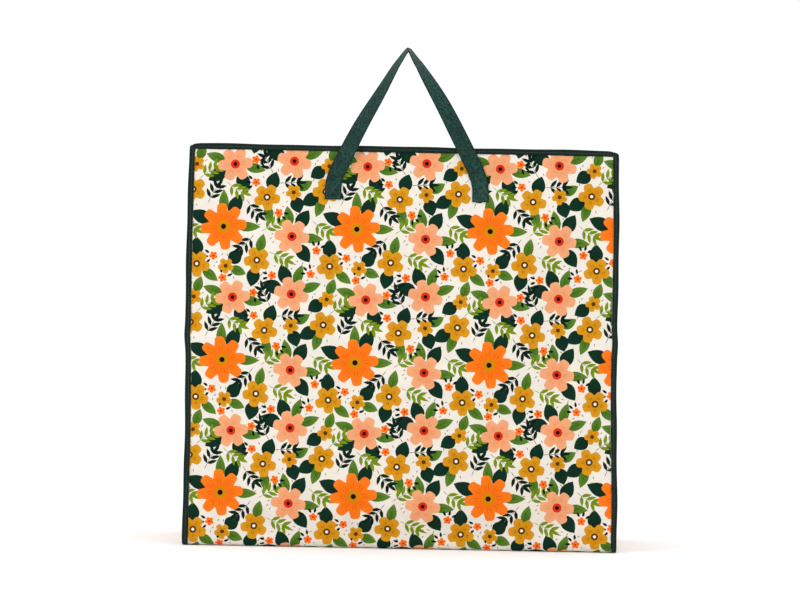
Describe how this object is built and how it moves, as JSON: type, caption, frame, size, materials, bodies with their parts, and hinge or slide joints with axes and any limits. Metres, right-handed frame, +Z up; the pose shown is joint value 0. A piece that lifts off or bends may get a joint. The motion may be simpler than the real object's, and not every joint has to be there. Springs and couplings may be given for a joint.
{
  "type": "packing cube",
  "caption": "Large zip-top fabric storage cube with floral print, dark bound seams that stand out as fins, and webbing carry handles front and rear.",
  "frame": {"origin": "centre of the base, on the surface that the cube stands on", "axes": "+Z up, +X along the zip to the right as seen from the front, the front panel with the raised handle faces -Y"},
  "size_m": [0.65, 0.3585, 0.7559],
  "materials": {
    "printed_cloth": "laminated woven polypropylene with an all-over floral print, satin",
    "binding_tape": "ribbed polyester binding tape, near-black green",
    "thread": "polyester sewing thread",
    "zip_tape": "woven zip tape, dark green",
    "zip_chain": "moulded nylon coil, satin",
    "zip_metal": "enamelled die casting, satin",
    "webbing": "twill polypropylene webbing, deep teal green"
  },
  "bodies": {
    "bag": {"main_wrap": "printed_cloth", "left_gusset": "printed_cloth", "right_gusset": "printed_cloth", "left_side_binding": "binding_tape", "right_side_binding": "binding_tape", "top_binding": "binding_tape", "left_binding_stitching": "thread", "right_binding_stitching": "thread", "top_binding_stitching": "thread", "top_panel_frame": "printed_cloth", "left_zip_tail_tape": "zip_tape", "left_zip_tail_chain": "zip_chain", "left_zip_stop": "zip_metal", "right_zip_tail_tape": "zip_tape", "right_zip_tail_chain": "zip_chain", "right_zip_stop": "zip_metal", "front_left_foot": "webbing", "front_right_foot": "webbing", "front_foot_stitching": "thread", "rear_left_foot": "webbing", "rear_right_foot": "webbing", "rear_foot_stitching": "thread"},
    "front_flap": {"front_flap": "printed_cloth", "front_zip_tape": "zip_tape", "front_zip_chain": "zip_chain", "front_flap_stitching": "thread"},
    "rear_flap": {"rear_flap": "printed_cloth", "rear_zip_tape": "zip_tape", "rear_zip_chain": "zip_chain", "rear_flap_stitching": "thread"},
    "slider": {"zip_slider": "zip_metal"},
    "pull": {"zip_pull": "zip_metal"},
    "front_handle": {"front_handle_loop": "webbing"},
    "rear_handle": {"rear_handle_loop": "webbing"}
  },
  "joints": [
    {"name": "front_flap_open", "type": "hinge", "parent": "bag", "child": "front_flap", "pos_m": [0, -0.1376, 0.598], "axis": [1, 0, 0], "range_deg": [0, 80]},
    {"name": "rear_flap_open", "type": "hinge", "parent": "bag", "child": "rear_flap", "pos_m": [0, 0.1376, 0.598], "axis": [-1, 0, 0], "range_deg": [0, 80]},
    {"name": "zip_slide", "type": "slide", "parent": "bag", "child": "slider", "axis": [-1, 0, 0], "range_m": [0, 0.556]},
    {"name": "pull_swing", "type": "hinge", "parent": "slider", "child": "pull", "pos_m": [0.278, 0, 0.6], "axis": [0, 1, 0], "range_deg": [0, 180]},
    {"name": "front_handle_swing", "type": "hinge", "parent": "bag", "child": "front_handle", "pos_m": [0, -0.1441, 0.555], "axis": [1, 0, 0], "range_deg": [0, 167]},
    {"name": "rear_handle_swing", "type": "hinge", "parent": "bag", "child": "rear_handle", "pos_m": [0, 0.1441, 0.555], "axis": [1, 0, 0], "range_deg": [0, 167]}
  ]
}
